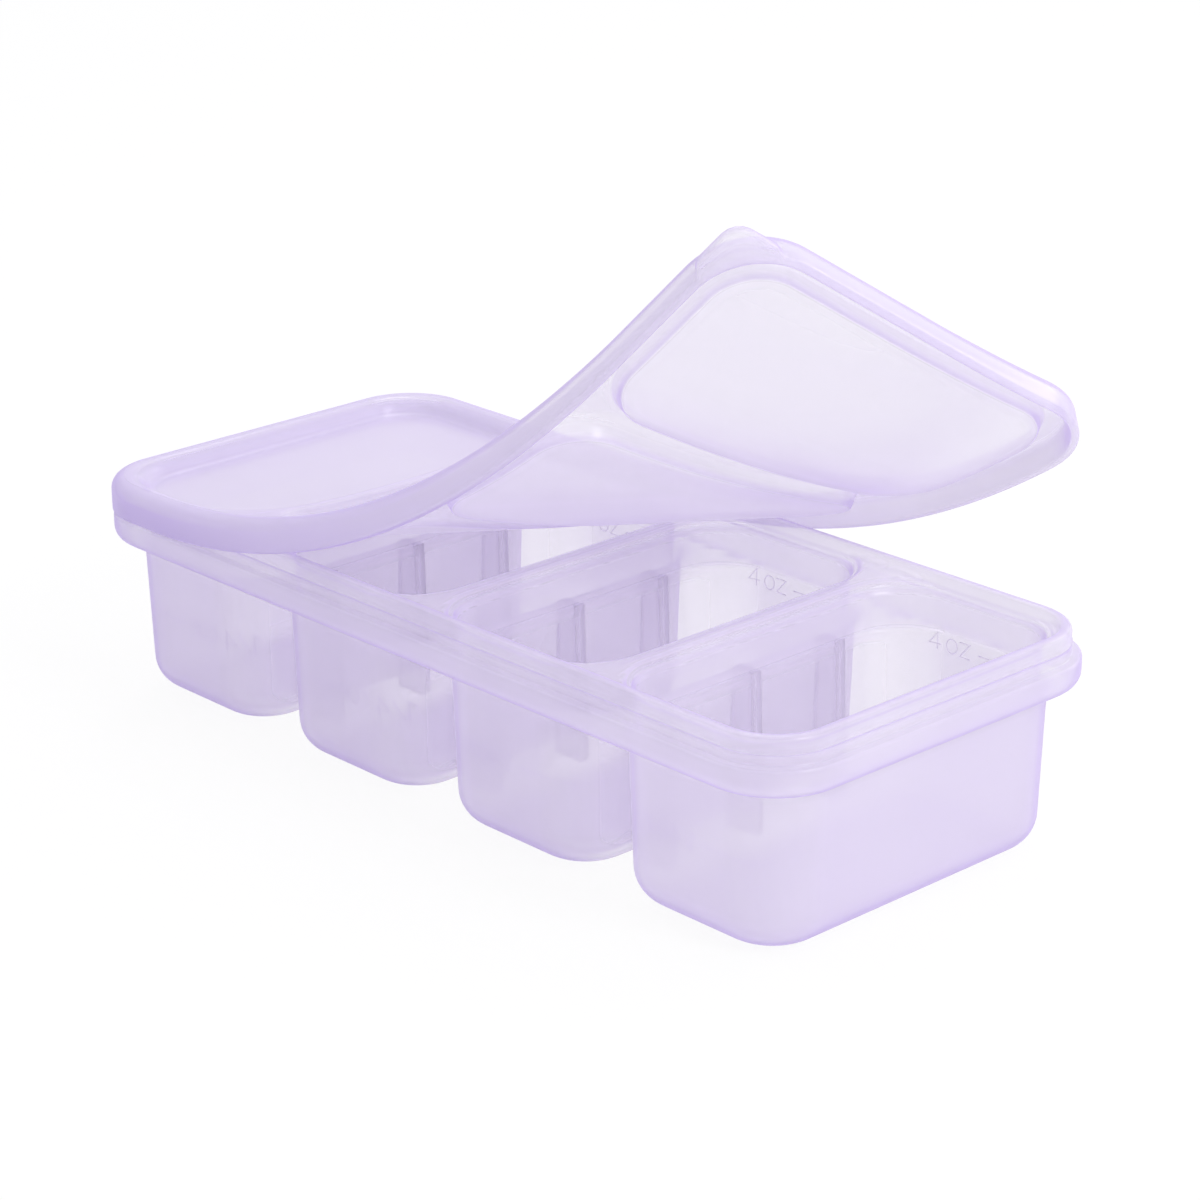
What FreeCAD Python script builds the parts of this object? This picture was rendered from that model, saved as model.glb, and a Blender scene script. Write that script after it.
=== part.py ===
import FreeCAD, Part
import os
import Sketcher

# Baby food freezer tray with a flexible lid, in millimetres, +Z up.
# The origin is the centre of the footprint, on the plane that the tray stands on.
# X runs along the row of cells. The lid is seated over the left end and curled up over the right end.

doc = FreeCAD.newDocument("FreezerTray")
sheet = doc.addObject("Spreadsheet::Sheet", "Sizes")

sizes = [
    # cells and cups
    ("cell_pitch", 54.0, "from one cell to the next"),
    ("cup_gap", 7.4, "between two cups, at their feet"),
    ("cup_width", 86.8, "one cup along Y, outside, at its foot"),
    ("cup_corner", 13.2, "upright corner of a cup at its foot"),
    ("cup_draft", 0.033, "how far a cup's wall leans out for each unit of height"),
    ("cup_wall", 1.7, "thickness of a cup's wall and floor"),
    ("cup_foot_round", 7.6, "round between a cup's wall and its flat foot"),
    # rim
    ("rim_margin", 6.7, "from the foot line of the outer cup walls out to the flange's edge"),
    ("rim_corner", 16.7, "flange corner"),
    ("rim_underside", 36.7, "height of the flange's underside, where the cups end"),
    ("flange_height", 6.6, "flange, from its underside to the step the lid sits on"),
    ("flange_low_round", 3.1, "round under the flange's outer edge"),
    ("flange_top_round", 0.8, "round on top of the flange's outer edge"),
    ("collar_inset", 2.2, "from the flange's edge in to the collar"),
    ("collar_height", 6.0, "collar above the flange"),
    ("collar_round", 1.2, "round on the collar's outer top edge"),
    ("collar_lip_round", 0.7, "round on the collar's inner top edge"),
    ("collar_lip", 2.4, "collar's width at its top"),
    ("ledge_width", 0.6, "from the foot line of a cup's wall out to the collar's foot"),
    ("ledge_drop", 3.1, "from the collar's top down to the ledge round the mouths"),
    ("mouth_bevel_drop", 1.15, "height of the bevel round a mouth"),
    ("mouth_bevel_run", 0.9, "width of the bevel round a mouth"),
    # dividers and webs
    ("rib_inset", 0.9, "from the foot line of a cup's wall to the rib on the divider beside it"),
    ("rib_height", 1.3, "rib above the ledge"),
    ("rib_round", 0.6, "round on the rib's long edges"),
    ("web_thickness", 2.0, "upright web between two cups"),
    ("web_spacing", 25.5, "from one web to the next along Y"),
    # lid
    ("lid_overhang", 0.2, "lid's skirt beyond the flange's edge"),
    ("lid_seat_gap", 0.3, "clearance between the skirt and the flange's step"),
    ("lid_fit", 0.5, "clearance between the lid and the collar, beside and above it"),
    ("lid_plate", 1.8, "lid's plate over the collar"),
    ("lid_round", 3.0, "round on the lid's top edge"),
    ("pad_inset", 0.6, "clearance between a pad's underside and the collar's foot"),
    ("pad_gap", 0.3, "clearance between a pad and the ledge"),
    ("pad_lean", 24.4, "lean of a pad's side, degrees from upright"),
    ("pad_corner", 12.0, "pad corner on its underside"),
    ("pad_floor", 1.7, "thickness of a pad's floor"),
    ("recess_spread_x", 0.3, "from a pad's underside out to the edge of the recess over it, along X"),
    ("recess_spread_y", 1.5, "the same along Y"),
    ("recess_corner", 12.5, "recess corner at the lid's top"),
    ("recess_lean", 32.0, "lean of a recess's side, degrees from upright"),
    ("tab_radius", 7.5, "lifting tab on the lid's corner"),
    ("tab_stand_x", 0.6, "how far the tab stands out beyond the lid's short side"),
    ("tab_stand_y", 2.9, "how far the tab stands out beyond the lid's long side"),
    ("tab_thickness", 2.2, "lifting tab"),
    # how the lid curls
    ("fold_angle", 36.3, "degrees from the lid's long side to the way that the lid curls"),
    ("first_fold", -30.0, "first fold line, from the centre of the lid along that way"),
    ("fold_pitch", 21.36, "from one fold line to the next"),
    ("fold_turn", 10.86, "turn at each fold line when the lid is curled up, degrees"),
    ("fold_spare", 4.0, "how far each fold can turn beyond that, degrees"),
    ("fold_drop", 5.1, "fold axes below the lid's top"),
    ("fold_gap", 0.2, "clearance between two strips of the lid when it lies flat"),
]
for row, (alias, value, meaning) in enumerate(sizes, start=1):
    sheet.set(f"A{row}", meaning)
    sheet.set(f"B{row}", str(value))
    sheet.setAlias(f"B{row}", alias)
doc.recompute()

cells = 4
folds = 6

# heights and half sizes that several pieces share, as formulas on the sheet
cup_half_x = "((Sizes.cell_pitch - Sizes.cup_gap) / 2)"
cup_half_y = "(Sizes.cup_width / 2)"
rim_half_x = f"({(cells - 1) / 2} * Sizes.cell_pitch + {cup_half_x} + Sizes.rim_margin)"
rim_half_y = f"({cup_half_y} + Sizes.rim_margin)"
step_level = "(Sizes.rim_underside + Sizes.flange_height)"
collar_level = f"({step_level} + Sizes.collar_height)"
ledge_level = f"({collar_level} - Sizes.ledge_drop)"
collar_half_x = f"({rim_half_x} - Sizes.collar_inset)"
collar_half_y = f"({rim_half_y} - Sizes.collar_inset)"
collar_corner = "(Sizes.rim_corner - Sizes.collar_inset)"
collar_foot = "(Sizes.rim_margin - Sizes.collar_inset - Sizes.ledge_width)"
skirt_level = f"({step_level} + Sizes.lid_seat_gap)"
roof_level = f"({collar_level} + Sizes.lid_fit)"
lid_level = f"({roof_level} + Sizes.lid_plate)"
pad_level = f"({ledge_level} + Sizes.pad_gap)"
fold_level = f"({lid_level} - Sizes.fold_drop)"
lid_half_x = f"({rim_half_x} + Sizes.lid_overhang)"
lid_half_y = f"({rim_half_y} + Sizes.lid_overhang)"
lid_corner = "(Sizes.rim_corner + Sizes.lid_overhang)"
first_cell = f"(-{(cells - 1) / 2} * Sizes.cell_pitch)"
pad_half_x = f"({cup_half_x} + Sizes.ledge_width - Sizes.pad_inset)"
pad_half_y = f"({cup_half_y} + Sizes.ledge_width - Sizes.pad_inset)"


def value(formula):
    """The present value of a formula on the sheet."""
    result = sheet.evalExpression(formula)
    return float(getattr(result, "Value", result))


def origin_plane(body, role):
    return next(plane for plane in body.Origin.OriginFeatures if plane.Role == role)


def new_body(name):
    return doc.addObject("PartDesign::Body", name)


def new_sketch(body, name, level):
    sketch = body.newObject("Sketcher::SketchObject", name)
    sketch.AttachmentSupport = [(origin_plane(body, "XY_Plane"), "")]
    sketch.MapMode = "FlatFace"
    sketch.setExpression("AttachmentOffset.Base.z", level)
    return sketch


def bind(sketch, name, constraint, formula):
    """Adds a constraint whose size follows a formula."""
    index = sketch.addConstraint(constraint)
    sketch.renameConstraint(index, name)
    sketch.setExpression(f"Constraints.{name}", formula)


def rounded_rectangle(body, name, level, half_x, half_y, corner, centre_x="0"):
    """A sketch of a rectangle with round corners, drawn anticlockwise from its lower side."""
    sketch = new_sketch(body, name, level)
    cx, hx, hy, r = (value(f) for f in (centre_x, half_x, half_y, corner))
    up = FreeCAD.Vector(0, 0, 1)
    ends = [
        ((cx - hx + r, -hy), (cx + hx - r, -hy)),
        ((cx + hx, -hy + r), (cx + hx, hy - r)),
        ((cx + hx - r, hy), (cx - hx + r, hy)),
        ((cx - hx, hy - r), (cx - hx, -hy + r)),
    ]
    middles = [(cx + hx - r, -hy + r), (cx + hx - r, hy - r), (cx - hx + r, hy - r), (cx - hx + r, -hy + r)]
    quarter = Part.Circle().LastParameter / 4
    for side in range(4):
        start, end = (FreeCAD.Vector(*point, 0) for point in ends[side])
        sketch.addGeometry(Part.LineSegment(start, end))
        circle = Part.Circle(FreeCAD.Vector(*middles[side], 0), up, r)
        sketch.addGeometry(Part.ArcOfCircle(circle, (side - 1) * quarter, side * quarter))
    for side in range(4):
        line, arc, next_line = 2 * side, 2 * side + 1, (2 * side + 2) % 8
        sketch.addConstraint(Sketcher.Constraint("Tangent", line, 2, arc, 1))
        sketch.addConstraint(Sketcher.Constraint("Tangent", arc, 2, next_line, 1))
        sketch.addConstraint(Sketcher.Constraint("Vertical" if side % 2 else "Horizontal", line))
    for arc in (3, 5, 7):
        sketch.addConstraint(Sketcher.Constraint("Equal", 1, arc))
    bind(sketch, "corner", Sketcher.Constraint("Radius", 1, r), corner)
    bind(sketch, "low", Sketcher.Constraint("DistanceY", 0, 1, -1, 1, hy), half_y)
    bind(sketch, "high", Sketcher.Constraint("DistanceY", -1, 1, 4, 1, hy), half_y)
    bind(sketch, "right", Sketcher.Constraint("DistanceX", -1, 1, 2, 1, cx + hx), f"{centre_x} + {half_x}")
    bind(sketch, "across", Sketcher.Constraint("DistanceX", 6, 1, 2, 1, 2 * hx), f"2 * {half_x}")
    return sketch


def pad(body, name, sketch, length, taper="0"):
    feature = body.newObject("PartDesign::Pad", name)
    feature.Profile = sketch
    feature.setExpression("Length", length)
    feature.setExpression("TaperAngle", taper)
    doc.recompute()
    return feature


def pocket(body, name, sketch, depth, taper="0", upward=False):
    """Cuts away from the sketch, down unless it says upward, and checks that material went."""
    before = body.Shape.Volume
    feature = body.newObject("PartDesign::Pocket", name)
    feature.Profile = sketch
    feature.Type = "Length"
    feature.Reversed = upward
    feature.setExpression("Length", depth)
    feature.setExpression("TaperAngle", taper)
    doc.recompute()
    if body.Shape.Volume >= before:
        raise RuntimeError(f"{name} cuts nothing")
    return feature


def fillet(body, name, base, edges, radius):
    feature = body.newObject("PartDesign::Fillet", name)
    feature.Base = (base, edges)
    feature.setExpression("Radius", radius)
    doc.recompute()
    return feature


def repeat_along_x(body, name, originals, spacing, copies):
    pattern = body.newObject("PartDesign::LinearPattern", name)
    pattern.Originals = originals
    pattern.Direction = (origin_plane(body, "X_Axis"), [""])
    pattern.setExpression("Length", f"{copies - 1} * {spacing}")
    pattern.Occurrences = copies
    body.Tip = pattern
    doc.recompute()
    return pattern


def edges_at(shape, level, test=lambda edge: True):
    """Names of the edges that lie level at one height."""
    height = value(level)
    found = []
    for number, edge in enumerate(shape.Edges, start=1):
        box = edge.BoundBox
        if abs(box.ZMin - height) < 0.01 and abs(box.ZMax - height) < 0.01 and test(edge):
            found.append(f"Edge{number}")
    return found


def make_cup(number):
    """A thin-walled cup that leans out from its flat foot up to the rim's underside."""
    shapes = []
    surfaces = [("outside", "0", "0", "0"), ("inside", "Sizes.cup_wall", "Sizes.cup_wall", "1")]
    for part, level, inset, above in surfaces:
        body = new_body(f"cup_{number}_{part}")
        lean = f"Sizes.cup_draft * {level} - {inset}"
        outline = rounded_rectangle(body, f"cup_{number}_{part}_outline", level, f"({cup_half_x} + {lean})",
                                    f"({cup_half_y} + {lean})", f"(Sizes.cup_corner + {lean})")
        block = pad(body, f"cup_{number}_{part}_block", outline, f"Sizes.rim_underside - {level} + {above}",
                    "atan(Sizes.cup_draft)")
        fillet(body, f"cup_{number}_{part}_foot", block, edges_at(block.Shape, level),
               f"Sizes.cup_foot_round - {inset}")
        body.setExpression("Placement.Base.x", f"{first_cell} + {number - 1} * Sizes.cell_pitch")
        shapes.append(body)
    return boolean("Part::Cut", f"cup_{number}", *shapes)


def make_rim_blank():
    """Flange, collar, mouths and the ribs over the dividers, in one moulding."""
    body = new_body("rim_blank")
    flange_sketch = rounded_rectangle(body, "flange_outline", "Sizes.rim_underside", rim_half_x, rim_half_y,
                                      "Sizes.rim_corner")
    flange = pad(body, "flange", flange_sketch, "Sizes.flange_height")
    low = fillet(body, "flange_low_edge", flange, edges_at(flange.Shape, "Sizes.rim_underside"),
                 "Sizes.flange_low_round")
    top = fillet(body, "flange_top_edge", low, edges_at(low.Shape, step_level), "Sizes.flange_top_round")
    collar_sketch = rounded_rectangle(body, "collar_outline", step_level, collar_half_x, collar_half_y,
                                      collar_corner)
    collar = pad(body, "collar", collar_sketch, "Sizes.collar_height")
    fillet(body, "collar_top_edge", collar, edges_at(collar.Shape, collar_level), "Sizes.collar_round")
    well_sketch = rounded_rectangle(body, "well_outline", collar_level,
                                    f"({collar_half_x} - Sizes.collar_lip)",
                                    f"({collar_half_y} - Sizes.collar_lip)",
                                    f"({collar_corner} - Sizes.collar_lip)")
    well = pocket(body, "well", well_sketch, "Sizes.ledge_drop",
                  f"-atan(({collar_foot} - Sizes.collar_lip) / Sizes.ledge_drop)")
    inside = value(collar_half_x) - value("Sizes.collar_lip") + 0.01
    lip_edges = edges_at(well.Shape, collar_level, lambda edge: edge.BoundBox.XMax < inside)
    fillet(body, "collar_lip_edge", well, lip_edges, "Sizes.collar_lip_round")
    rib_half_x = "(Sizes.cup_gap / 2 - Sizes.rib_inset)"
    rib_half_y = f"({collar_half_y} - ({collar_foot} + Sizes.collar_lip) / 2)"
    rib_sketch = rounded_rectangle(body, "rib_outline", ledge_level, rib_half_x, rib_half_y,
                                   "Sizes.rib_round", f"({first_cell} + Sizes.cell_pitch / 2)")
    rib = pad(body, "rib", rib_sketch, "Sizes.rib_height")
    repeat_along_x(body, "ribs", [rib], "Sizes.cell_pitch", cells - 1)
    mouth_half_x = f"({cup_half_x} + Sizes.cup_draft * {ledge_level} - Sizes.cup_wall)"
    mouth_half_y = f"({cup_half_y} + Sizes.cup_draft * {ledge_level} - Sizes.cup_wall)"
    mouth_corner = f"(Sizes.cup_corner + Sizes.cup_draft * {ledge_level} - Sizes.cup_wall)"
    bevel_sketch = rounded_rectangle(body, "mouth_bevel_outline", ledge_level,
                                     f"({mouth_half_x} + Sizes.mouth_bevel_run)",
                                     f"({mouth_half_y} + Sizes.mouth_bevel_run)",
                                     f"({mouth_corner} + Sizes.mouth_bevel_run)", first_cell)
    bevel = pocket(body, "mouth_bevel", bevel_sketch, "Sizes.mouth_bevel_drop",
                   "-atan(Sizes.mouth_bevel_run / Sizes.mouth_bevel_drop)")
    mouth_sketch = rounded_rectangle(body, "mouth_outline", ledge_level, mouth_half_x, mouth_half_y,
                                     mouth_corner, first_cell)
    mouth = pocket(body, "mouth", mouth_sketch, f"({ledge_level} - Sizes.rim_underside)",
                   "-atan(Sizes.cup_draft)")
    repeat_along_x(body, "mouths", [bevel, mouth], "Sizes.cell_pitch", cells)
    return body


def make_box(name, length, width, height, corner_x, corner_y, corner_z):
    box = doc.addObject("Part::Box", name)
    for side, formula in (("Length", length), ("Width", width), ("Height", height)):
        box.setExpression(side, formula)
    for axis, formula in (("x", corner_x), ("y", corner_y), ("z", corner_z)):
        box.setExpression(f"Placement.Base.{axis}", formula)
    return box


def boolean(kind, name, base, tool):
    feature = doc.addObject(kind, name)
    feature.Base = base
    feature.Tool = tool
    return feature


def make_rim_and_dividers(blank):
    """The rim's ring, and the bars between its mouths, cut apart where the mouths' corners begin."""
    bar_half = f"({cup_half_y} - Sizes.cup_corner)"
    boxes, dividers = [], []
    for number in range(1, cells):
        middle = f"({first_cell} + {number - 0.5} * Sizes.cell_pitch)"
        box = make_box(f"divider_{number}_bounds", "Sizes.cell_pitch / 4", f"2 * {bar_half}",
                       "2 * Sizes.flange_height + Sizes.collar_height", f"{middle} - Sizes.cell_pitch / 8",
                       f"-{bar_half}", "Sizes.rim_underside - Sizes.flange_height / 2")
        boxes.append(box)
        dividers.append(boolean("Part::Common", f"divider_{number}", blank, box))
    bars = doc.addObject("Part::MultiFuse", "divider_bounds")
    bars.Shapes = boxes
    return [boolean("Part::Cut", "rim", blank, bars)] + dividers


def make_webs(number):
    """Upright plates that tie two cups together, from the rim's underside to the plane they stand on."""
    foot = "(Sizes.cup_gap / 2)"
    head = f"({foot} - Sizes.cup_draft * Sizes.rim_underside)"
    plates = []
    for place in (-1, 0, 1):
        plate = doc.addObject("Part::Wedge", f"web_{number}_{place + 2}")
        for prop, formula in (("Xmin", f"-{foot}"), ("Xmax", foot), ("X2min", f"-{head}"), ("X2max", head),
                              ("Ymin", "0"), ("Ymax", "Sizes.rim_underside"),
                              ("Zmin", "-Sizes.web_thickness / 2"), ("Zmax", "Sizes.web_thickness / 2"),
                              ("Z2min", "-Sizes.web_thickness / 2"), ("Z2max", "Sizes.web_thickness / 2")):
            plate.setExpression(prop, formula)
        plate.Placement = FreeCAD.Placement(FreeCAD.Vector(), FreeCAD.Rotation(FreeCAD.Vector(1, 0, 0), 90))
        plate.setExpression("Placement.Base.x", f"{first_cell} + {number - 0.5} * Sizes.cell_pitch")
        plate.setExpression("Placement.Base.y", f"{place} * Sizes.web_spacing")
        plates.append(plate)
    group = doc.addObject("Part::Compound", f"webs_{number}")
    group.Links = plates
    return group


def make_lid_blank():
    """The whole lid as it lies flat on the tray: plate, skirt, four pads and a lifting tab."""
    body = new_body("lid_blank")
    outline = rounded_rectangle(body, "lid_outline", skirt_level, lid_half_x, lid_half_y, lid_corner)
    plate = pad(body, "lid_plate", outline, f"({lid_level} - {skirt_level})")
    rounded = fillet(body, "lid_top_edge", plate, edges_at(plate.Shape, lid_level), "Sizes.lid_round")
    tab_sketch = new_sketch(body, "tab_outline", skirt_level)
    tab_x = f"({lid_half_x} + Sizes.tab_stand_x - Sizes.tab_radius)"
    tab_y = f"({lid_half_y} + Sizes.tab_stand_y - Sizes.tab_radius)"
    centre = FreeCAD.Vector(value(tab_x), -value(tab_y), 0)
    radius = value("Sizes.tab_radius")
    tab_sketch.addGeometry(Part.Circle(centre, FreeCAD.Vector(0, 0, 1), radius))
    bind(tab_sketch, "radius", Sketcher.Constraint("Radius", 0, radius), "Sizes.tab_radius")
    bind(tab_sketch, "along", Sketcher.Constraint("DistanceX", -1, 1, 0, 3, value(tab_x)), tab_x)
    bind(tab_sketch, "down", Sketcher.Constraint("DistanceY", 0, 3, -1, 1, value(tab_y)), tab_y)
    pad(body, "tab", tab_sketch, "Sizes.tab_thickness")
    channel_sketch = rounded_rectangle(body, "channel_outline", skirt_level,
                                       f"({collar_half_x} + Sizes.lid_fit)",
                                       f"({collar_half_y} + Sizes.lid_fit)",
                                       f"({collar_corner} + Sizes.lid_fit)")
    pocket(body, "channel", channel_sketch, f"({roof_level} - {skirt_level})", upward=True)
    pad_sketch = rounded_rectangle(body, "pad_outline", pad_level, pad_half_x, pad_half_y, "Sizes.pad_corner",
                                   first_cell)
    low_pad = pad(body, "low_pad", pad_sketch, f"({roof_level} - {pad_level})", "Sizes.pad_lean")
    repeat_along_x(body, "low_pads", [low_pad], "Sizes.cell_pitch", cells)
    recess_sketch = rounded_rectangle(body, "recess_outline", lid_level,
                                      f"({pad_half_x} + Sizes.recess_spread_x)",
                                      f"({pad_half_y} + Sizes.recess_spread_y)",
                                      "Sizes.recess_corner", first_cell)
    recess = pocket(body, "recess", recess_sketch, f"({lid_level} - {pad_level} - Sizes.pad_floor)",
                    "-Sizes.recess_lean")
    repeat_along_x(body, "recesses", [recess], "Sizes.cell_pitch", cells)
    body.setExpression("Placement.Rotation.Angle", "Sizes.fold_angle")
    doc.recompute()
    return body


def make_strip(number, name, blank):
    """One strip of the flat lid between two fold lines, turned so that the fold lines run along Y.

    Beside a fold axis the strip ends in an upright face below the axis, and leans back above it,
    so that the strip can turn up against its neighbour.
    """
    reach = f"({lid_half_x} + {lid_half_y} + Sizes.tab_stand_y)"
    lean = "tan((Sizes.fold_turn + Sizes.fold_spare) / 2 + 0.1)"
    rise = "(Sizes.fold_drop + Sizes.lid_fit)"
    left, left_top = f"(-{reach})", f"(-{reach})"
    right, right_top = reach, reach
    if number > 0:
        left = f"(Sizes.first_fold + {number - 1} * Sizes.fold_pitch + Sizes.fold_gap / 2)"
        left_top = f"({left} + {rise} * {lean})"
    if number < folds:
        right = f"(Sizes.first_fold + {number} * Sizes.fold_pitch - Sizes.fold_gap / 2)"
        right_top = f"({right} - {rise} * {lean})"
    low = make_box(f"{name}_low", f"{right} - {left}", f"2 * {reach}",
                   f"{fold_level} - {skirt_level} + Sizes.lid_fit",
                   left, f"-{reach}", f"{skirt_level} - Sizes.lid_fit")
    high = doc.addObject("Part::Wedge", f"{name}_high")
    for prop, formula in (("Xmin", left), ("Xmax", right), ("X2min", left_top), ("X2max", right_top),
                          ("Ymin", "0"), ("Ymax", rise), ("Zmin", f"-{reach}"), ("Zmax", reach),
                          ("Z2min", f"-{reach}"), ("Z2max", reach)):
        high.setExpression(prop, formula)
    high.Placement = FreeCAD.Placement(FreeCAD.Vector(), FreeCAD.Rotation(FreeCAD.Vector(1, 0, 0), 90))
    high.setExpression("Placement.Base.z", fold_level)
    bounds = boolean("Part::Fuse", f"{name}_bounds", low, high)
    return boolean("Part::Common", name, blank, bounds)


def make_lid():
    """The lid's strips, each turned up from the one before it, as the lid stands when it is peeled back."""
    blank = make_lid_blank()
    names = ["lid_seat"] + [f"lid_fold_{number}" for number in range(1, folds)] + ["lid_flap"]
    strips = [make_strip(number, name, blank) for number, name in enumerate(names)]
    doc.recompute()
    fold_axis = FreeCAD.Vector(0, -1, 0)
    curl = FreeCAD.Rotation(fold_axis, value("Sizes.fold_turn"))
    aside = FreeCAD.Rotation(FreeCAD.Vector(0, 0, 1), -value("Sizes.fold_angle"))
    place = FreeCAD.Placement(FreeCAD.Vector(), aside)
    for number, strip in enumerate(strips):
        if number > 0:
            along = value("Sizes.first_fold") + (number - 1) * value("Sizes.fold_pitch")
            centre = FreeCAD.Vector(along, 0, value(fold_level))
            place = place.multiply(FreeCAD.Placement(FreeCAD.Vector(), curl, centre))
        strip.Placement = place
    return strips


pieces = [make_cup(number) for number in range(1, cells + 1)]
pieces += make_rim_and_dividers(make_rim_blank())
pieces += [make_webs(number) for number in range(1, cells)]
pieces += make_lid()
for piece in pieces:
    piece.Label = piece.Name
doc.recompute()

for thing in doc.Objects:
    if "Invalid" in thing.State or "Error" in thing.State:
        raise RuntimeError(f"{thing.Name} did not compute")
for piece in pieces:
    if piece.Shape.isNull() or not piece.Shape.isValid() or not piece.Shape.Solids:
        raise RuntimeError(f"{piece.Label} has no valid solid")

os.makedirs("parts", exist_ok=True)
for piece in pieces:
    piece.Shape.exportStep(f"parts/{piece.Label}.step")
    box = piece.Shape.BoundBox
    print(f"{piece.Label}: {len(piece.Shape.Solids)} solid(s), {piece.Shape.Volume / 1000:.2f} cm3, "
          f"x {box.XMin:.1f} to {box.XMax:.1f}, y {box.YMin:.1f} to {box.YMax:.1f}, "
          f"z {box.ZMin:.1f} to {box.ZMax:.1f}")
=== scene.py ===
import math

import bmesh
import bpy
import numpy as np
from mathutils import Matrix, Vector


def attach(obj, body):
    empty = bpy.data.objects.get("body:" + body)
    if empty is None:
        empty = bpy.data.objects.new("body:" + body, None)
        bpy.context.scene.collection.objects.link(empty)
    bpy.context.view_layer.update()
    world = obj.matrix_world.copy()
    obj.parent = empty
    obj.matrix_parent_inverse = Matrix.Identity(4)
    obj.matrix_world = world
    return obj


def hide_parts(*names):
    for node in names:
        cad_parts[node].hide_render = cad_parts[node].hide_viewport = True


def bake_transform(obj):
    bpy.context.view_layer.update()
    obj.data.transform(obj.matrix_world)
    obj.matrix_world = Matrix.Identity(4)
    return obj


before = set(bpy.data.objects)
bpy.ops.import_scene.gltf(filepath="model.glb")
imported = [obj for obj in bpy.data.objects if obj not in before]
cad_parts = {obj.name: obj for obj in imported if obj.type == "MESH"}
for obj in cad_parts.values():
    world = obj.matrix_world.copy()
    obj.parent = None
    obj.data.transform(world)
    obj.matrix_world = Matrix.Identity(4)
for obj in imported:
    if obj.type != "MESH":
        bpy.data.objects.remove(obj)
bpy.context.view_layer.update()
print("frame loaded")

# Every moulded wall follows a rounded rectangle. A station is a point of its core rectangle and the
# way that looks straight out there, so one set of stations draws the same contour at any offset.
# All lengths are in millimetres until a mesh is made. A point's heft says how much the silicone hides
# there and how deep its colour is. Many hefts also paint light and shade: light lines on ridges,
# dark lines in grooves, darker shaded stretches, and clearer walls where shade falls.

cell = dict(count=4, pitch=54.0, coreX=10.1, coreY=30.2)
outline = dict(halfX=111.0, halfY=50.1, corner=16.7)   # the rim's outer edge
junctionReach = (16.9, 15.0)   # from a cell's corner centre to where two cells meet the collar


def cellMiddle(index):
    return (index - (cell["count"] - 1) / 2) * cell["pitch"]


def stationSet(coreX, coreY, reach, stepsX=10, stepsY=26, stepsArc=8):
    split = math.atan2(reach[1], reach[0])
    first = [split * i / stepsArc for i in range(stepsArc + 1)]
    second = [split + (math.pi / 2 - split) * i / stepsArc for i in range(1, stepsArc + 1)]
    quarter = first + second
    base, out = [], []

    def add(x, y, angle):
        base.append((x, y))
        out.append((math.cos(angle), math.sin(angle)))

    for y in np.linspace(-coreY, coreY, stepsY + 1)[:-1]:            # right side, going up
        add(coreX, y, 0)
    for a in quarter[:-1]:
        add(coreX, coreY, a)
    for x in np.linspace(coreX, -coreX, stepsX + 1)[:-1]:            # far side
        add(x, coreY, math.pi / 2)
    for a in quarter[:-1]:
        add(-coreX, coreY, math.pi - quarter[len(quarter) - 1 - quarter.index(a)])
    for y in np.linspace(coreY, -coreY, stepsY + 1)[:-1]:            # left side, going down
        add(-coreX, y, math.pi)
    for a in quarter[:-1]:
        add(-coreX, -coreY, math.pi + a)
    for x in np.linspace(-coreX, coreX, stepsX + 1)[:-1]:            # near side
        add(x, -coreY, 1.5 * math.pi)
    for a in quarter[:-1]:
        add(coreX, -coreY, 2 * math.pi - quarter[len(quarter) - 1 - quarter.index(a)])
    return np.array(base), np.array(out)


def roundedDistance(points, halfX, halfY, corner):
    # signed distance to a rounded rectangle, and the way out of it
    q = np.abs(points) - np.array([halfX - corner, halfY - corner])
    outside = np.maximum(q, 0)
    length = np.linalg.norm(outside, axis=1)
    distance = length + np.minimum(np.maximum(q[:, 0], q[:, 1]), 0) - corner
    way = np.where(length[:, None] > 1e-9, outside / np.maximum(length, 1e-9)[:, None],
                   np.where((q[:, 0] > q[:, 1])[:, None], [1.0, 0.0], [0.0, 1.0]))
    return distance, way * np.where(points < 0, -1.0, 1.0)


class Skin:
    # gathers rings of points and the quads between them into one mesh

    def __init__(self):
        self.points, self.heft, self.faces = [], [], []

    def ring(self, points, heft):
        start = sum(len(p) for p in self.points)
        self.points.append(np.asarray(points, float))
        if callable(heft):
            heft = heft(self.points[-1])
        self.heft.append(np.broadcast_to(np.asarray(heft, float), (len(points),)).copy())
        return np.arange(start, start + len(points))

    def join(self, a, b, flip=False):
        for i in range(len(a)):
            j = (i + 1) % len(a)
            quad = (a[i], a[j], b[j], b[i])
            self.faces.append(quad[::-1] if flip else quad)

    def mesh(self, name, weld=0.004):
        data = bpy.data.meshes.new(name)
        points = np.concatenate(self.points) / 1000
        data.from_pydata(points.tolist(), [], [tuple(int(i) for i in f) for f in self.faces])
        layer = data.attributes.new("heft", "FLOAT", "POINT")
        layer.data.foreach_set("value", np.concatenate(self.heft).astype(np.float32))
        work = bmesh.new()
        work.from_mesh(data)
        bmesh.ops.remove_doubles(work, verts=work.verts, dist=weld / 1000)
        bmesh.ops.dissolve_degenerate(work, edges=work.edges, dist=1e-7)
        bmesh.ops.recalc_face_normals(work, faces=work.faces)
        for face in work.faces:
            face.smooth = True
        work.to_mesh(data)
        work.free()
        return data


def place(name, data, body, slotName, material, *nodes):
    piece = bpy.data.objects.new(name, data)
    bpy.context.scene.collection.objects.link(piece)
    piece.data.materials.append(material)
    if body:
        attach(piece, body)
    if nodes:
        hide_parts(*nodes)
    return piece


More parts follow.
